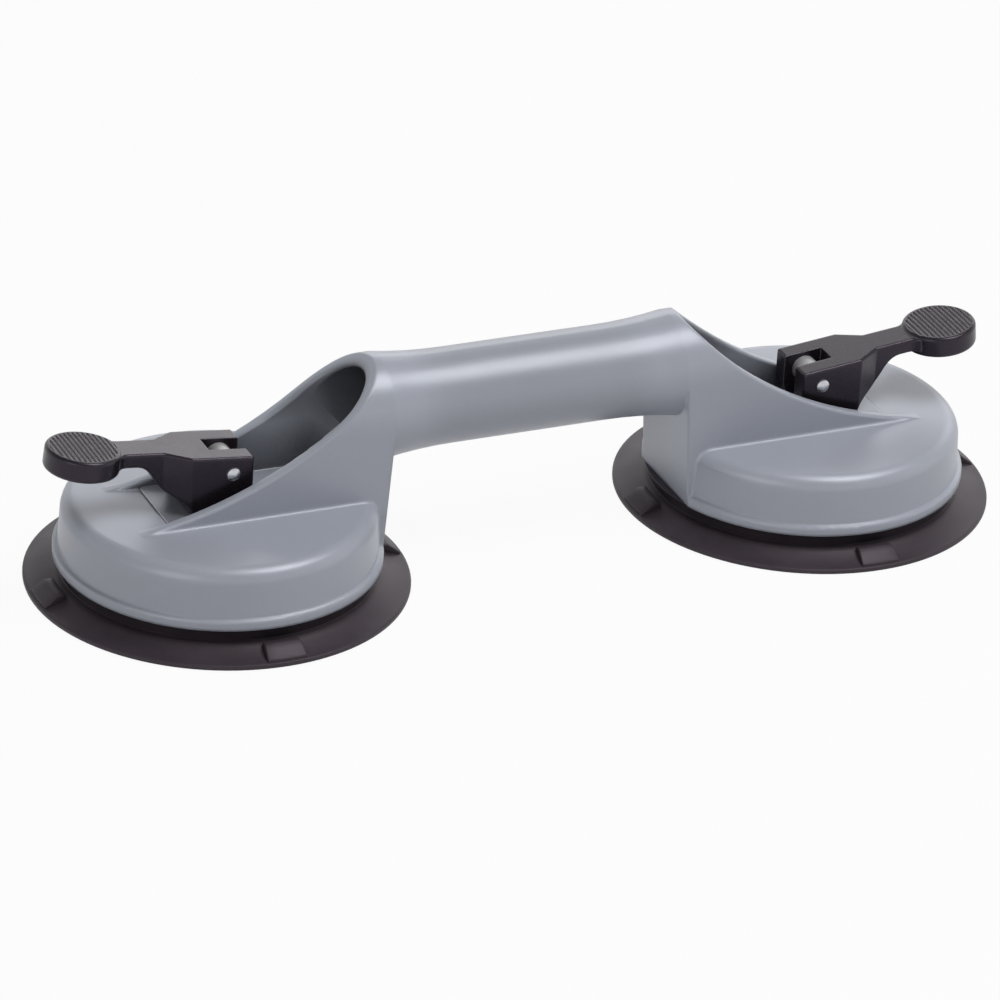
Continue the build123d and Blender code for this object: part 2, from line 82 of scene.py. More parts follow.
class Signal:
    """A shader output. Arithmetic on signals adds the Math nodes that work it out."""

    def __init__(self, tree, socket):
        self.tree = tree
        self.socket = socket

    def feed(self, place, value):
        """Link a signal to an input, or set the input to a plain value."""
        if isinstance(value, Signal):
            self.tree.links.new(value.socket, place)
        else:
            place.default_value = value

    def node(self, kind, inputs, out=0, **settings):
        """Add any node: its settings first, then the values or links of its inputs."""
        made = self.tree.nodes.new(kind)
        for name, value in settings.items():
            if name == "stops":
                self.set_stops(made.color_ramp, value)
            else:
                setattr(made, name, value)
        for name, value in inputs.items():
            self.feed(made.inputs[name], value)
        return Signal(self.tree, made.outputs[out])

    @staticmethod
    def set_stops(colour_ramp, stops):
        """Give a ramp its stops as (position, grey value or colour) pairs."""
        while len(colour_ramp.elements) < len(stops):
            colour_ramp.elements.new(1.0)
        for element, (position, value) in zip(colour_ramp.elements, stops):
            element.position = position
            element.color = (value, value, value, 1) if isinstance(value, (int, float)) else (*value, 1)

    def maths(self, operation, *others):
        return self.node("ShaderNodeMath", dict(enumerate((self, *others))), operation=operation)

    def __add__(self, other):
        return self.maths("ADD", other)

    def __sub__(self, other):
        return self.maths("SUBTRACT", other)

    def __mul__(self, other):
        return self.maths("MULTIPLY", other)

    def __pow__(self, other):
        return self.maths("POWER", other)

    def __rsub__(self, other):
        return self.node("ShaderNodeMath", {0: other, 1: self}, operation="SUBTRACT")

    __radd__ = __add__
    __rmul__ = __mul__

    def ramp(self, *stops):
        return self.node("ShaderNodeValToRGB", {"Fac": self}, stops=stops)

    def noise(self, scale, detail=2.0, roughness=0.5, distortion=0.0):
        """Noise read at this signal, which is a place. A scale of 1000 has cells about a millimetre wide."""
        inputs = {"Vector": self, "Scale": scale, "Detail": detail, "Roughness": roughness, "Distortion": distortion}
        return self.node("ShaderNodeTexNoise", inputs, out="Fac")

    def moved(self, by=(0, 0, 0), scale=(1, 1, 1)):
        """This place, shifted and then stretched along the axes."""
        centred = self.node("ShaderNodeVectorMath", {0: self, 1: by}, operation="ADD")
        return self.node("ShaderNodeVectorMath", {0: centred, 1: scale}, operation="MULTIPLY")

    def parts(self):
        """The three coordinates of this place."""
        made = self.node("ShaderNodeSeparateXYZ", {"Vector": self})
        return [Signal(self.tree, out) for out in made.socket.node.outputs]

    def tint(self, dark, light):
        """Colour that goes from dark to light as this signal goes from 0 to 1."""
        inputs = {"Factor": self, 6: (*dark, 1), 7: (*light, 1)}
        return self.node("ShaderNodeMix", inputs, out=2, data_type="RGBA")

    def over(self, base, colour):
        """Colour laid over a base colour, by this signal."""
        top = colour if isinstance(colour, Signal) else (*colour, 1)
        return self.node("ShaderNodeMix", {"Factor": self, 6: base, 7: top}, out=2, data_type="RGBA")

    def bump(self, strength, distance, normal=None):
        """Normal of a surface raised by this signal."""
        inputs = {"Height": self, "Strength": strength, "Distance": distance}
        if normal:
            inputs["Normal"] = normal
        return self.node("ShaderNodeBump", inputs)


def new_finish(name, **constants):
    """Material with its principled shader set, and the place signal that its patterns read."""
    material = bpy.data.materials.new(name)
    material.use_nodes = True
    shader = material.node_tree.nodes["Principled BSDF"]
    for socket, value in constants.items():
        shader.inputs[socket.replace("_", " ")].default_value = value
    coordinates = material.node_tree.nodes.new("ShaderNodeTexCoord")
    return material, shader, Signal(material.node_tree, coordinates.outputs["Object"])


def edge_mask(place, radius, gain):
    """One along the corners of the mesh and zero on its faces."""
    soft = place.node("ShaderNodeBevel", {"Radius": radius}, samples=6)
    true = place.node("ShaderNodeNewGeometry", {}, out="Normal")
    agree = place.node("ShaderNodeVectorMath", {0: soft, 1: true}, out="Value", operation="DOT_PRODUCT")
    return ((1.0 - agree) * gain).ramp((0.0, 0.0), (1.0, 1.0))


def hollows(place, reach, start, full):
    """One deep inside hollows and zero where the surface sees the open, with its range of occlusion."""
    open_share = place.node("ShaderNodeAmbientOcclusion", {"Distance": reach}, out="AO", samples=8)
    return (1.0 - open_share).ramp((start, 0.0), (full, 1.0))


def cast_alloy(finishes):
    """Lacquered casting: faint clouds and flake, a painted highlight along its corners and creases, and painted
    shade in its hollows and its bore.
    """
    material, shader, place = new_finish("cast_alloy", Metallic=0.10, IOR=1.5)
    clouds = place.noise(22, 3, 0.55)
    flow = place.moved(scale=(1, 3, 3)).noise(38, 4, 0.6, 0.4)
    sparkle = place.node("ShaderNodeTexVoronoi", {"Vector": place, "Scale": 2600}, out="Color")
    flake = sparkle.node("ShaderNodeSeparateColor", {"Color": sparkle})
    grain = place.noise(1500, 4, 0.6)
    corners = edge_mask(place, 0.7 * MM, 5.0)
    base = (clouds * 0.5 + flow * 0.3 + flake * 0.2).tint(finishes.alloy_dark, finishes.alloy)
    _, y, z = place.moved(by=(0, 0, -BORE_HEIGHT)).parts()
    # painted shade: the bore is darkened out to its radius
    bore = ((y * y + z * z) ** 0.5).ramp((BORE_RADIUS + 0.05 * MM, 1.0), (BORE_RADIUS + 0.25 * MM, 0.0))
    shade = hollows(place, 40 * MM, 0.62, 0.90).maths("MAXIMUM", bore * 0.8)
    # painted shade: hollows and the bore take a near-black colour
    shaded_base = (shade * 0.95).over(base, finishes.alloy_painted_shade)
    # painted highlight: the casting's corners and creases are lightened toward a pale grey
    place.feed(shader.inputs["Base Color"], (corners * 0.35).over(shaded_base, finishes.alloy_corner_highlight))
    place.feed(shader.inputs["Roughness"], 0.27 + flow * 0.08 + flake * 0.05 + grain * 0.05 - corners * 0.05)
    soft = place.node("ShaderNodeBevel", {"Radius": 1.4 * MM}, samples=8)
    skin = (grain * 0.7 + flake * 0.3).bump(0.14, 0.04 * MM, soft)
    place.feed(shader.inputs["Normal"], clouds.bump(0.12, 0.5 * MM, skin))
    return material


def pad_rubber(finishes, sizes, centre):
    """Moulded rubber round one cup: faint rings from the mould, a patchy bloom, and painted shade in its hollows and
    on the neck under the flange.
    """
    material, shader, place = new_finish("pad_rubber", IOR=1.5, Specular_IOR_Level=0.38, Specular_Tint=RUBBER_SHEEN)
    local = place.moved(by=(-centre, 0, 0))
    bloom = local.noise(46, 4, 0.62, 0.5)
    fine = local.noise(2100, 3, 0.6)
    x, y, height = local.parts()
    radius = (x * x + y * y) ** 0.5
    foot, outer, low = sizes.neck_radius - sizes.undercut, sizes.neck_radius, sizes.neck_foot
    # painted shade: the neck under the flange is marked out by radius and height and darkened
    past_foot = radius.ramp(((foot - 0.9) * MM, 0.0), ((foot - 0.5) * MM, 1.0))
    within = radius.ramp(((outer + 0.1) * MM, 1.0), ((outer + 0.4) * MM, 0.0))
    neck = past_foot * within * height.ramp(((low - 0.2) * MM, 0.0), ((low - 0.1) * MM, 1.0))
    rings = (radius * 9000.0).maths("SINE") * local.noise(30, 2)
    dust = bloom.ramp((0.35, 0.0), (0.75, 1.0))
    skin_colour = (dust * 0.8 + fine * 0.2).tint(finishes.rubber, finishes.rubber_bloom)
    # painted shade: hollows and the neck under the flange take a near-black colour
    shade = (hollows(place, 8 * MM, 0.45, 0.85) + neck).maths("MINIMUM", 1.0)
    place.feed(shader.inputs["Base Color"], shade.over(skin_colour, finishes.rubber_painted_shade))
    place.feed(shader.inputs["Roughness"], 0.40 + dust * 0.10 + fine * 0.06 - neck * 0.30)
    skin = fine.bump(0.18, 0.06 * MM)
    place.feed(shader.inputs["Normal"], rings.bump(0.08, 0.04 * MM, skin))
    return material


def lever_nylon(finishes, thumb_centre):
    """Glass-filled nylon: nearly black, satin, mottled, with a painted highlight along its corners and painted light
    in the grooves between the ribs.
    """
    material, shader, place = new_finish("lever_nylon", IOR=1.5, Specular_IOR_Level=0.42, Specular_Tint=NYLON_SHEEN)
    mottle = place.noise(160, 4, 0.6, 0.6)
    fibre = place.moved(scale=(1, 4, 4)).noise(900, 3, 0.6)
    fine = place.noise(3200, 2)
    x, y, _ = place.parts()
    across = x.maths("ABSOLUTE") - thumb_centre
    ribs = ((across * across + y * y) ** 0.5).ramp((10.2 * MM, 1.0), (10.8 * MM, 0.0))
    corners = edge_mask(place, 0.6 * MM, 6.0) * (1.0 - ribs)
    base = (mottle * 0.6 + fibre * 0.4).tint(finishes.nylon, finishes.nylon_light)
    # painted light: the grooves between the thumb rest's ribs are lifted toward a pale grey against their shade
    groove_lit = (hollows(place, 1.2 * MM, 0.0, 0.25) * ribs).over(base, finishes.nylon_groove_light)
    # painted highlight: the levers' corners are lightened toward a pale grey
    place.feed(shader.inputs["Base Color"], (corners * 0.8).over(groove_lit, finishes.nylon_edge_highlight))
    place.feed(shader.inputs["Roughness"], 0.20 + mottle * 0.10 + fine * 0.06 + ribs * 0.12 - corners * 0.04)
    soft = place.node("ShaderNodeBevel", {"Radius": 0.6 * MM}, samples=6)
    skin = (fine * 0.6 + fibre * 0.4).bump(0.14, 0.035 * MM, soft)
    place.feed(shader.inputs["Normal"], mottle.bump(0.08, 0.2 * MM, skin))
    return material


def turned_metal(name, colour, metallic, roughness, centre, height, axis, marks=14000.0):
    """Machined metal with fine rings from the lathe about one axis through a centre."""
    material, shader, place = new_finish(name, Metallic=metallic)
    x, y, z = place.moved(by=(-centre, 0, -height)).parts()
    up, along = (z, y) if axis == "Y" else (y, z)
    radius = (x * x + up * up) ** 0.5
    rings = ((radius + along) * marks + place.noise(700, 2) * 2.0).maths("SINE")
    smear = place.noise(420, 3, 0.6)
    dark = tuple(channel * 0.72 for channel in colour)
    place.feed(shader.inputs["Base Color"], (smear * 0.7 + 0.3).tint(dark, colour))
    place.feed(shader.inputs["Roughness"], roughness + smear * 0.12 + rings * 0.03)
    place.feed(shader.inputs["Normal"], rings.bump(0.10, 0.02 * MM))
    return material


def rolled_sheet(finishes):
    """Dull rolled sheet, drawn along the lever, with the rub marks of the cam."""
    material, shader, place = new_finish("rolled_sheet", Metallic=0.6)
    drawn = place.moved(scale=(1, 22, 22)).noise(260, 3, 0.7)
    rub = place.noise(120, 3)
    face = (drawn * 0.6 + rub * 0.4).tint(finishes.sheet_dark, finishes.sheet)
    corners = edge_mask(place, 0.5 * MM, 4.0)
    # painted highlight: the wear plates' edges are lightened toward near white
    place.feed(shader.inputs["Base Color"], corners.over(face, finishes.sheet_edge_highlight))
    place.feed(shader.inputs["Roughness"], 0.36 + drawn * 0.14 + rub * 0.06)
    soft = place.node("ShaderNodeBevel", {"Radius": 0.5 * MM}, samples=6)
    place.feed(shader.inputs["Normal"], drawn.bump(0.10, 0.02 * MM, soft))
    return material


def zinc_plate(finishes):
    """Zinc plating with a soft spangle."""
    material, shader, place = new_finish("zinc_plate", Metallic=1.0)
    spangle = place.node("ShaderNodeTexVoronoi", {"Vector": place, "Scale": 380}, out="Color")
    value = spangle.node("ShaderNodeSeparateColor", {"Color": spangle})
    haze = place.noise(90, 4, 0.6)
    place.feed(shader.inputs["Base Color"], (value * 0.4 + haze * 0.6).tint(finishes.zinc_dark, finishes.zinc))
    place.feed(shader.inputs["Roughness"], 0.28 + value * 0.10 + haze * 0.12)
    place.feed(shader.inputs["Normal"], haze.bump(0.06, 0.05 * MM))
    return material


def bush_nylon(finishes):
    """Natural nylon, off-white and waxy."""
    material, shader, place = new_finish("bush_nylon", IOR=1.53, Subsurface_Weight=0.1, Subsurface_Scale=0.001)
    haze = place.noise(240, 3)
    fine = place.noise(2400, 2)
    place.feed(shader.inputs["Base Color"], haze.tint(finishes.bush_dark, finishes.bush))
    place.feed(shader.inputs["Roughness"], 0.34 + fine * 0.12)
    place.feed(shader.inputs["Normal"], fine.bump(0.12, 0.03 * MM))
    return material


def clear_selection():
    """Leave edit mode with nothing selected: the loaded solids start out selected."""
    if bpy.context.object and bpy.context.object.mode != "OBJECT":
        bpy.ops.object.mode_set(mode="OBJECT")
    bpy.ops.object.select_all(action="DESELECT")


def select_where(obj, element, test):
    """Select in edit mode the vertices or faces whose place passes the test."""
    bpy.ops.object.mode_set(mode="EDIT")
    bpy.ops.mesh.select_mode(type="FACE" if element == "faces" else "VERT")
    bpy.ops.mesh.select_all(action="DESELECT")
    bpy.ops.object.mode_set(mode="OBJECT")
    items = obj.data.polygons if element == "faces" else obj.data.vertices
    chosen = 0
    for item in items:
        item.select = bool(test(item.center if element == "faces" else item.co))
        chosen += item.select
    bpy.ops.object.mode_set(mode="EDIT")
    if not chosen:
        raise RuntimeError(f"nothing to select on {obj.name}")


def apply_place(obj):
    """Put the object's place into its mesh, so that the object sits at the origin."""
    bpy.ops.object.mode_set(mode="OBJECT")
    bpy.context.view_layer.objects.active = obj
    obj.select_set(True)
    bpy.ops.object.transform_apply(location=True, rotation=True, scale=True)


def apply_modifier(obj, kind, **settings):
    """Add one modifier, set it and apply it."""
    modifier = obj.modifiers.new(kind.lower(), kind)
    for name, value in settings.items():
        setattr(modifier, name, value)
    bpy.ops.object.modifier_apply(modifier=modifier.name)


def close_and_face_outwards():
    """Merge what coincides and turn all faces outwards, in edit mode."""
    bpy.ops.mesh.select_all(action="SELECT")
    bpy.ops.mesh.remove_doubles(threshold=0.001 * MM)
    bpy.ops.mesh.normals_make_consistent(inside=False)


def near_ring(centre, radius, height, reach=0.05):
    """Test for vertices on one ring about a cup's axis. Radius and height are in millimetres."""
    return lambda co: (
        abs(math.hypot(co.x - centre, co.y) - radius * MM) < reach * MM
        and abs(co.z - height * MM) < reach * MM
    )


def turned_shell(name, outline, steps, centre, closed):
    """Shell of turning: a ring at the outline's first point is extruded and scaled through the rest.

    The outline holds (radius, height) pairs in millimetres. If it isn't closed on itself, its two
    end rings become poles on the axis."""
    clear_selection()
    first_radius, first_height = radius, height = outline[0]
    bpy.ops.mesh.primitive_circle_add(vertices=steps, radius=radius * MM, location=(centre, 0, height * MM))
    obj = bpy.context.object
    obj.name = obj.data.name = name
    apply_place(obj)
    bpy.ops.object.mode_set(mode="EDIT")
    bpy.ops.mesh.select_all(action="SELECT")
    for next_radius, next_height in outline[1:]:
        rise = (next_height - height) * MM
        grow = next_radius / radius
        bpy.ops.mesh.extrude_region_move(TRANSFORM_OT_translate={"value": (0, 0, rise)})
        bpy.ops.transform.resize(value=(grow, grow, 1), center_override=(centre, 0, next_height * MM))
        radius, height = next_radius, next_height
    if not closed:
        bpy.ops.mesh.merge(type="CENTER")
        select_where(obj, "vertices", near_ring(centre, first_radius, first_height))
        bpy.ops.mesh.merge(type="CENTER")
    close_and_face_outwards()
    return obj


def finish_piece(obj, material, smooth_angle=40):
    """Leave edit mode, smooth the shading up to an angle and give the piece its material."""
    bpy.ops.object.mode_set(mode="OBJECT")
    bpy.ops.object.shade_smooth_by_angle(angle=math.radians(smooth_angle))
    obj.data.materials.clear()
    obj.data.materials.append(material)


def dress(node, material):
    """Give a solid of the frame its material."""
    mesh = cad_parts[node].data
    mesh.materials.clear()
    mesh.materials.append(material)


def skirt_height(radius, sizes):
    """Height of the skirt's hollow top at a radius, in millimetres."""
    share = (sizes.rim_radius - radius) / (sizes.rim_radius - sizes.neck_radius)
    chord = sizes.rim_thickness + (sizes.neck_foot - sizes.rim_thickness) * share
    return chord - 4 * sizes.skirt_hollow * share * (1 - share)


def ring_outline(sizes):
    """Section of the outer pad: neck, skirt, rim and sealing land with its two fine grooves."""
    rim, thick = sizes.rim_radius, sizes.rim_thickness
    neck, top = sizes.neck_radius, sizes.neck_top
    inner, land_edge = neck - sizes.neck_wall, sizes.land_edge
    under = [(inner, top), (inner, 5.2), (land_edge - 4.0, 3.0), (land_edge - 0.4, 0.7), (land_edge, 0.0)]
    land = []
    mouth, floor, deep = sizes.groove_width / 2, 0.12, 0.4
    for groove in (land_edge + 1.6, land_edge + 3.9):
        land += [(groove - mouth, 0.0), (groove - floor, deep), (groove + floor, deep), (groove + mouth, 0.0)]
    edge = [(rim - 0.4, 0.0), (rim - 0.1, 0.12), (rim, 0.4), (rim, thick - 0.45), (rim - 0.12, thick - 0.12)]
    edge += [(rim - 0.45, thick + 0.05)]
    skirt = [(r, skirt_height(r, sizes)) for r in sizes.skirt_rings()]
    wall = [(neck - sizes.undercut, sizes.neck_foot + 0.1), (neck, top - 0.2), (neck - 0.2, top), (inner, top)]
    return under + land + edge + skirt + wall


def web_outline(sizes):
    """Section of the web that the stem draws up: level under the plate, then an arc with two fine ribs."""
    lift, plate, edge, rib = sizes.lift, sizes.plate_radius, sizes.land_edge, sizes.rib_depth
    bend = ((edge - plate) ** 2 + lift**2) / (2 * lift)
    plain = (34.5, 36.5, 38.6, 40.0, 42.4, 43.8, 45.6, 47.4, 49.2, 50.8, 52.4, 53.9)
    ribbed = (39.0, 39.6, 42.8, 43.4)
    under = [(1.0, lift), (8.0, lift), (20.0, lift), (plate, lift)]
    for r in sorted(plain + ribbed):
        sag = bend - math.sqrt(bend**2 - (r - plate) ** 2)
        under.append((r, lift - sag - (rib if r in ribbed else 0.0)))
    seat, lip = sizes.plate_seat, sizes.plate_seat + 1.95
    slope = [(edge + 0.4, 0.35), (edge + 0.2, 0.9), (50.2, 4.0), (45.8, 7.1), (40.0, 8.1)]
    collar = [(plate + 1.6, seat + 0.05), (plate + 1.6, lip), (plate + 0.1, lip), (plate + 0.1, seat)]
    return under + slope + collar + [(20.0, seat), (1.0, seat)]


def raise_lugs(obj, centre, sizes):
    """Raise the four release lugs out of the skirt, ring by ring, and round their tops."""
    rings = [r for r in sizes.skirt_rings() if sizes.lug_inner < r < sizes.lug_outer]
    half = math.sin(math.radians(360 / sizes.steps * 2.2))

    def on_lug(co):
        radius = math.hypot(co.x - centre, co.y)
        inside = sizes.lug_inner * MM < radius < sizes.lug_outer * MM
        return inside and min(abs(co.x - centre), abs(co.y)) < half * radius and co.z > MM

    select_where(obj, "faces", on_lug)
    bpy.ops.mesh.extrude_region_move(TRANSFORM_OT_translate={"value": (0, 0, sizes.lug_start * MM)})
    bpy.ops.object.vertex_group_assign_new()
    for radius in rings:
        level = skirt_height(radius, sizes) + sizes.lug_start
        share = min(1.0, (rings[0] - radius) / (rings[0] - sizes.lug_ridge))
        goal = sizes.lug_toe + (sizes.lug_crest - sizes.lug_toe) * share
        select_where(obj, "vertices", near_ring(centre, radius, level))
        bpy.ops.transform.translate(value=(0, 0, (goal - level) * MM))
    bpy.ops.mesh.select_all(action="DESELECT")
    bpy.ops.object.vertex_group_select()
    bpy.ops.mesh.region_to_loop()
    bpy.ops.mesh.bevel(offset=sizes.lug_round * MM, segments=3, affect="EDGES")
    bpy.ops.object.vertex_group_remove(all=True)
    close_and_face_outwards()


def make_pad(tag, sizes, material):
    """One rubber pad: the outer ring that stays on the tile, and the web in the middle."""
    centre = CUPS[tag] * PAD_CENTRE
    ring = turned_shell(f"pad_ring_{tag}", ring_outline(sizes), sizes.steps, centre, closed=True)
    raise_lugs(ring, centre, sizes)
    finish_piece(ring, material)
    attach(ring, "body")
    web = turned_shell(f"pad_web_{tag}", web_outline(sizes), sizes.steps, centre, closed=False)
    finish_piece(web, material)
    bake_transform(web)
    for piece in (ring, web):
        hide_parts(f"rubber_pad_{tag}")


def make_spring(tag, sizes, material):
    """One return spring, wound by the screw modifier and stretched between dome and plate."""
    low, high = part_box(f"return_spring_{tag}")
    wire = sizes.wire * MM
    centre = (low.x + high.x) / 2
    winding = (high.x - low.x) / 2 - wire / 2
    clear_selection()
    bpy.ops.mesh.primitive_circle_add(
        vertices=14, radius=wire / 2, location=(winding, 0, low.z + wire / 2), rotation=(math.pi / 2, 0, 0)
    )
    spring = bpy.context.object
    spring.name = spring.data.name = f"spring_coil_{tag}"
    apply_place(spring)
    pitch = (high.z - low.z - wire) / sizes.turns
    apply_modifier(
        spring, "SCREW", axis="Z", screw_offset=pitch, iterations=sizes.turns, steps=40, render_steps=40
    )
    bpy.ops.object.mode_set(mode="EDIT")
    bpy.ops.mesh.select_all(action="SELECT")
    bpy.ops.mesh.fill_holes(sides=0)
    bpy.ops.mesh.select_all(action="SELECT")
    bpy.ops.transform.translate(value=(centre, 0, 0))
    close_and_face_outwards()
    finish_piece(spring, material, 60)
    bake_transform(spring)
    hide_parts(f"return_spring_{tag}")


def colour(name, description, default):
    return bpy.props.FloatVectorProperty(
        name=name, description=description, default=default, size=3, min=0.0, max=1.0, subtype="COLOR"
    )


def length(name, description, default):
    return bpy.props.FloatProperty(name=name, description=description, default=default, min=0.0, unit="LENGTH")


def number(name, description, default, low=0.0, high=1000.0):
    return bpy.props.FloatProperty(name=name, description=description, default=default, min=low, max=high)


class PadSizes(bpy.types.PropertyGroup):
    """Sizes of a rubber pad, in millimetres from its axis and from the tile."""

    steps: bpy.props.IntProperty(name="Steps", description="Faces round a pad", default=116, min=48, max=192)
    rim_radius: number("Rim radius", "Radius of the sealing rim", (PAD_HIGH.x - PAD_LOW.x) / 2 / MM)
    rim_thickness: number("Rim thickness", "Thickness of the rim", 1.5)
    neck_radius: number("Neck radius", "Radius of the neck under the flange", 50.5)
    neck_foot: number("Neck foot", "Height where the skirt meets the neck", 4.5)
    neck_top: number("Neck top", "Height of the seat under the flange", 8.7)
    neck_wall: number("Neck wall", "Thickness of the neck at its top", 4.6)
    undercut: number("Undercut", "How far the neck's foot lies inside its top", 1.4)
    land_edge: number("Land edge", "Inner radius of the land that seals on the tile", 54.0)
    groove_width: number("Groove width", "Width of the land's two grooves at their mouth", 0.7)
    plate_radius: number("Plate radius", "Radius of the level middle of the web", 33.05)
    plate_seat: number("Plate seat", "Height of the web's top under the plate", 8.95)
    rib_depth: number("Rib depth", "Depth of the fine ribs under the web", 0.45)
    skirt_hollow: number("Skirt hollow", "Sag of the skirt's top between rim and neck", 0.5)
    lift: number("Lift", "Height of the web over the tile while it is drawn up", 6.5)
    lug_inner: number("Lug inner radius", "Radius of a lug's tall end", 51.9)
    lug_outer: number("Lug outer radius", "Radius of a lug's low end", 59.1)
    lug_start: number("Lug start", "First rise of a lug out of the skirt", 0.6)
    lug_ridge: number("Lug ridge", "Radius where the level top of a lug ends and its ramp starts", 54.8)
    lug_crest: number("Lug crest", "Height of a lug's level top", 5.3)
    lug_toe: number("Lug toe", "Height of a lug's low end", 2.2)
    lug_round: number("Lug rounding", "Rounding of a lug's top edges", 0.4)

    def skirt_rings(self):
        """Radii of the rings on the skirt's top, from the rim inwards."""
        return (59.0, 57.6, 56.2, 54.8, 53.2, 52.0, 51.0)


class SpringSizes(bpy.types.PropertyGroup):
    """Sizes of a return spring."""

    wire: number("Wire", "Thickness of the wire in millimetres", 1.45)
    turns: bpy.props.IntProperty(name="Turns", description="Turns of a spring", default=4, min=2, max=8)


class Finishes(bpy.types.PropertyGroup):
    """Colours of the finishes."""

    alloy: colour("Alloy", "Lit colour of the casting", (0.386, 0.407, 0.466))
    alloy_dark: colour("Alloy, dark", "Darker clouds of the casting", (0.330, 0.349, 0.402))
    # painted highlight along the casting's corners and creases
    alloy_corner_highlight: colour("Alloy, corners", "Casting where its corners are rubbed", (0.55, 0.56, 0.60))
    # painted shade in the casting's hollows and its bore
    alloy_painted_shade: colour("Alloy, hollows", "Casting deep inside its hollows", (0.018, 0.017, 0.016))
    rubber: colour("Rubber", "Rubber of the pads", (0.026, 0.020, 0.025))
    rubber_bloom: colour("Rubber bloom", "Rubber where it has bloomed", (0.044, 0.035, 0.043))
    # painted shade in the rubber's hollows and on the neck under the flange
    rubber_painted_shade: colour("Rubber, hollows", "Rubber in the groove under the flange", (0.004, 0.004, 0.005))
    nylon: colour("Nylon", "Nylon of the levers", (0.0070, 0.0060, 0.0075))
    nylon_light: colour("Nylon, light", "Paler mottle of the levers", (0.0150, 0.0125, 0.0155))
    # painted light in the grooves of the thumb rest
    nylon_groove_light: colour("Nylon, dust", "Dust in the grooves of the thumb rest", (0.200, 0.182, 0.200))
    # painted highlight along the levers' corners
    nylon_edge_highlight: colour("Nylon, rubbed", "Corners of the levers that hands rub", (0.260, 0.240, 0.260))
    pin: colour("Pin", "Polished steel of the pivot pins", (0.62, 0.63, 0.66))
    stem: colour("Stem", "Dull alloy of the pull stems", (0.56, 0.56, 0.57))
    wire: colour("Wire", "Drawn wire of the springs", (0.48, 0.48, 0.50))
    sheet: colour("Sheet", "Sheet of the wear plates", (0.370, 0.385, 0.430))
    sheet_dark: colour("Sheet, dark", "Sheet between its rolling marks", (0.300, 0.315, 0.355))
    # painted highlight along the wear plates' cut edges
    sheet_edge_highlight: colour("Sheet, edges", "Cut edges of the wear plates", (0.80, 0.81, 0.84))
    zinc: colour("Zinc", "Zinc plating", (0.66, 0.68, 0.70))
    zinc_dark: colour("Zinc, dark", "Dull zinc plating", (0.48, 0.50, 0.53))
    bush: colour("Bush", "Natural nylon of the bushes", (0.80, 0.78, 0.71))
    bush_dark: colour("Bush, dark", "Shaded nylon of the bushes", (0.70, 0.68, 0.61))


class StudioSettings(bpy.types.PropertyGroup):
    """Camera, lamps and floor."""

    azimuth: number("Azimuth", "Camera's turn from the front, in degrees", -25.16, -180, 180)
    elevation: number("Elevation", "Camera's height over the horizon, in degrees", 27.53, -90, 90)
    roll: number("Roll", "Camera's roll, in degrees", 3.49, -180, 180)
    distance: length("Distance", "From the camera to the point that it looks at", 2.0977)
    lens: number("Lens", "Focal length in millimetres on a 36 mm sensor", 240.26)
    ambient: number("Ambient", "Strength of the surroundings' light", 0.27)
    key: number("Key", "Brightness of the soft box overhead, where 1 is white", 8.0)
    rear: number("Rear", "Brightness of the long soft box low behind", 1.65)
    left: number("Left", "Brightness of the soft box at the left", 2.0)
    right: number("Right", "Brightness of the soft box at the right", 0.4)
    floor_glow: number("Floor glow", "Share of the floor that shows as plain white", 0.94, 0.0, 1.0)


def soft_box(name, place, width, height, brightness):
    """Rectangular lamp facing the object, with its brightness in units of white."""
    lamp = bpy.data.lights.new(name, "AREA")
    lamp.shape = "RECTANGLE"
    lamp.size, lamp.size_y = width, height
    lamp.energy = brightness * math.pi * width * height
    holder = bpy.data.objects.new(name, lamp)
    bpy.context.collection.objects.link(holder)
    holder.location = place
    holder.rotation_mode = "QUATERNION"
    holder.rotation_quaternion = (Vector((0, 0, 0.03)) - Vector(place)).to_track_quat("-Z", "Y")
    holder.visible_camera = False


def ray_kinds(tree):
    """Signals that are one for camera rays, and for rays of reflections or through glass."""
    paths = tree.nodes.new("ShaderNodeLightPath")
    names = ("Is Camera Ray", "Is Glossy Ray", "Is Transmission Ray")
    camera, glossy, through = (Signal(tree, paths.outputs[name]) for name in names)
    return camera, glossy + through


def light_world(world, ambient):
    """Surroundings: a plain ambient light, white to the camera and, near the horizon, in reflections."""
    world.use_nodes = True
    tree = world.node_tree
    light = tree.nodes["Background"]
    light.inputs["Color"].default_value = WHITE
    light.inputs["Strength"].default_value = ambient
    coordinates = tree.nodes.new("ShaderNodeTexCoord")
    _, _, height = Signal(tree, coordinates.outputs["Generated"]).parts()
    camera, reflected = ray_kinds(tree)
    white = camera.node("ShaderNodeBackground", {"Color": WHITE, "Strength": 1.0})
    share = (camera + reflected * height.ramp((0.30, 1.0), (0.62, 0.0))).maths("MINIMUM", 1.0)
    both = camera.node("ShaderNodeMixShader", {0: share, 1: Signal(tree, light.outputs[0]), 2: white})
    camera.feed(tree.nodes["World Output"].inputs["Surface"], both)


def floor_finish(glow_share):
    """Matt pale floor that shows mostly as plain white and keeps a little of the shadows."""
    material = bpy.data.materials.new("floor")
    material.use_nodes = True
    tree = material.node_tree
    tree.nodes.remove(tree.nodes["Principled BSDF"])
    camera, reflected = ray_kinds(tree)
    share = (camera + reflected).maths("MINIMUM", 1.0) * glow_share
    matt = camera.node("ShaderNodeBsdfDiffuse", {"Color": FLOOR_GREY})
    glow = camera.node("ShaderNodeEmission", {"Color": WHITE, "Strength": 1.0})
    both = camera.node("ShaderNodeMixShader", {0: share, 1: matt, 2: glow})
    camera.feed(tree.nodes["Material Output"].inputs["Surface"], both)
    return material


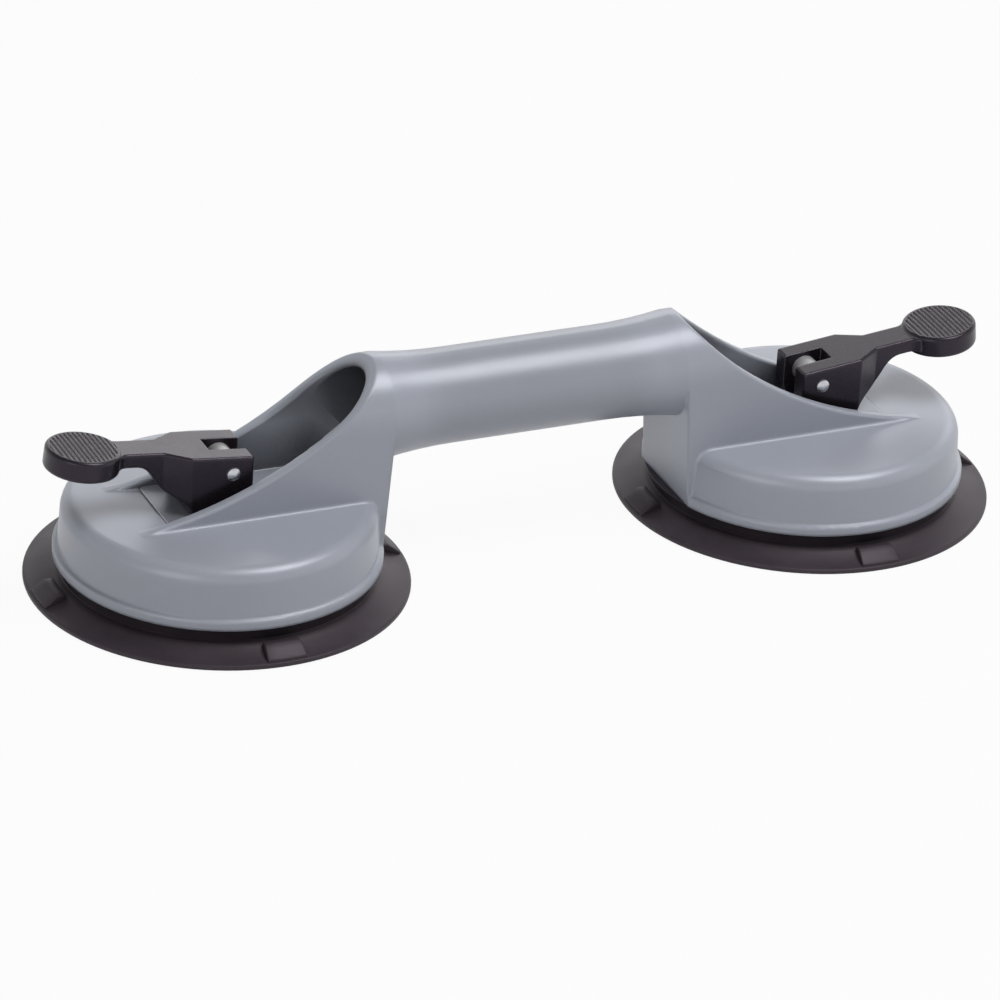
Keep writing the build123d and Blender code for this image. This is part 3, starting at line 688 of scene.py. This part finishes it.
class LIFTER_OT_stage(bpy.types.Operator):
    """Add the camera, the lamps, the surroundings and the floor"""

    bl_idname = "lifter.stage"
    bl_label = "Studio"

    def execute(self, context):
        studio = context.scene.lifter_studio
        turn, tilt, roll = (math.radians(v) for v in (studio.azimuth, studio.elevation, studio.roll))
        back = Vector((math.sin(turn) * math.cos(tilt), -math.cos(turn) * math.cos(tilt), math.sin(tilt)))
        right = Vector((math.cos(turn), math.sin(turn), 0))
        up = back.cross(right)
        across = math.cos(roll) * right + math.sin(roll) * up
        upward = math.cos(roll) * up - math.sin(roll) * right
        camera = bpy.data.objects.new("camera", bpy.data.cameras.new("camera"))
        context.collection.objects.link(camera)
        camera.matrix_world = Matrix.Translation(AIM + back * studio.distance) @ (
            Matrix((across, upward, back)).transposed().to_4x4()
        )
        camera.data.lens = studio.lens
        camera.data.clip_start, camera.data.clip_end = 0.01, 20.0
        context.scene.camera = camera
        context.scene.view_settings.view_transform = "Standard"
        context.scene.world = bpy.data.worlds.new("surroundings")
        light_world(context.scene.world, studio.ambient)

        clear_selection()
        bpy.ops.mesh.primitive_plane_add(size=12.0, location=(0, 0, -0.0003))
        floor = context.object
        floor.name = "floor"
        apply_place(floor)
        floor.data.materials.append(floor_finish(studio.floor_glow))

        for lamp, place, width, height in LAMPS:
            soft_box(f"{lamp}_box", place, width, height, getattr(studio, lamp))
        return {"FINISHED"}


class LIFTER_OT_casting(bpy.types.Operator):
    """Finish the cast body"""

    bl_idname = "lifter.casting"
    bl_label = "Cast body"

    def execute(self, context):
        dress("body_casting", cast_alloy(context.scene.lifter_finishes))
        return {"FINISHED"}


class LIFTER_OT_pads(bpy.types.Operator):
    """Model the two rubber pads"""

    bl_idname = "lifter.pads"
    bl_label = "Rubber pads"

    def execute(self, context):
        for tag, side in CUPS.items():
            sizes = context.scene.lifter_pads
            rubber = pad_rubber(context.scene.lifter_finishes, sizes, side * PAD_CENTRE)
            make_pad(tag, sizes, rubber)
        return {"FINISHED"}


class LIFTER_OT_levers(bpy.types.Operator):
    """Finish the two cam levers and their pins"""

    bl_idname = "lifter.levers"
    bl_label = "Cam levers"

    def execute(self, context):
        finishes = context.scene.lifter_finishes
        nylon = lever_nylon(finishes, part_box("lever_b")[1].x - THUMB_RADIUS)
        for tag, side in CUPS.items():
            low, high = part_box(f"pivot_pin_{tag}")
            middle = (low + high) / 2
            pin = turned_metal(f"pin_steel_{tag}", finishes.pin, 1.0, 0.22, middle.x, middle.z, "Y")
            dress(f"lever_{tag}", nylon)
            dress(f"pivot_pin_{tag}", pin)
        return {"FINISHED"}


class LIFTER_OT_stems(bpy.types.Operator):
    """Finish the pull stems and what guides them"""

    bl_idname = "lifter.stems"
    bl_label = "Stems and guides"

    def execute(self, context):
        finishes = context.scene.lifter_finishes
        zinc = zinc_plate(finishes)
        sheet = rolled_sheet(finishes)
        nylon = bush_nylon(finishes)
        for tag, side in CUPS.items():
            stem = turned_metal(f"stem_alloy_{tag}", finishes.stem, 0.6, 0.42, side * PAD_CENTRE, 0.0, "Z")
            dress(f"pull_stem_{tag}", stem)
            dress(f"wear_plate_{tag}", sheet)
            dress(f"guide_bush_{tag}", nylon)
            for piece in ("backing_plate", "lock_nut", "spring_seat"):
                dress(f"{piece}_{tag}", zinc)
        return {"FINISHED"}


class LIFTER_OT_springs(bpy.types.Operator):
    """Wind the two return springs"""

    bl_idname = "lifter.springs"
    bl_label = "Return springs"

    def execute(self, context):
        finishes = context.scene.lifter_finishes
        for tag, side in CUPS.items():
            wire = turned_metal(f"spring_wire_{tag}", finishes.wire, 1.0, 0.30, side * PAD_CENTRE, 0.0, "Z", 5000.0)
            make_spring(tag, context.scene.lifter_springs, wire)
        return {"FINISHED"}


class LIFTER_PT_panel(bpy.types.Panel):
    """Lists the steps that build the lifter"""

    bl_idname = "LIFTER_PT_panel"
    bl_label = "Suction lifter"
    bl_space_type = "VIEW_3D"
    bl_region_type = "UI"
    bl_category = "Lifter"

    def draw(self, context):
        for step in STEPS:
            self.layout.operator(step.bl_idname)


GROUPS = {
    "lifter_pads": PadSizes,
    "lifter_springs": SpringSizes,
    "lifter_finishes": Finishes,
    "lifter_studio": StudioSettings,
}
STEPS = (LIFTER_OT_stage, LIFTER_OT_casting, LIFTER_OT_pads, LIFTER_OT_levers, LIFTER_OT_stems, LIFTER_OT_springs)


def register():
    for group in (*GROUPS.values(), *STEPS, LIFTER_PT_panel):
        bpy.utils.register_class(group)
    for name, group in GROUPS.items():
        setattr(bpy.types.Scene, name, bpy.props.PointerProperty(type=group))


def unregister():
    for name in GROUPS:
        delattr(bpy.types.Scene, name)
    for group in reversed((*GROUPS.values(), *STEPS, LIFTER_PT_panel)):
        bpy.utils.unregister_class(group)


def main():
    register()
    bpy.ops.lifter.stage()
    bpy.ops.lifter.casting()
    bpy.ops.lifter.pads()
    bpy.ops.lifter.levers()
    bpy.ops.lifter.stems()
    bpy.ops.lifter.springs()
    clear_selection()


if __name__ == "__main__":
    main()
